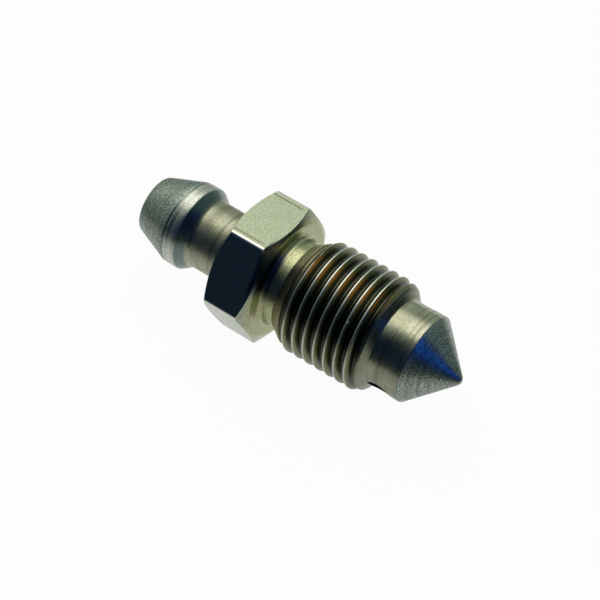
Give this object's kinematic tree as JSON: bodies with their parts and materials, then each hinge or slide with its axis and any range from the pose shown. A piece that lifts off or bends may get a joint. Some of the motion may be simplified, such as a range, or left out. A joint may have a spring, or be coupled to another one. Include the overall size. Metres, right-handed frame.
{
  "type": "bleeder screw",
  "caption": "Turned steel bleeder screw with a tapered hose nipple, hexagon, fine right-hand thread, cross-drilled pilot and conical seat.",
  "frame": {"origin": "on the screw's axis, in the plane of the hexagon's thread-side face", "axes": "+X along the axis from the hose nipple to the seat cone; +Z normal to the hexagon's top flat; +Y completes the right-handed frame"},
  "size_m": [0.0304, 0.0125, 0.011],
  "materials": {
    "plated_steel": "turned steel with a pale plated coat"
  },
  "bodies": {
    "root": {"bleeder_screw": "plated_steel"}
  },
  "joints": []
}
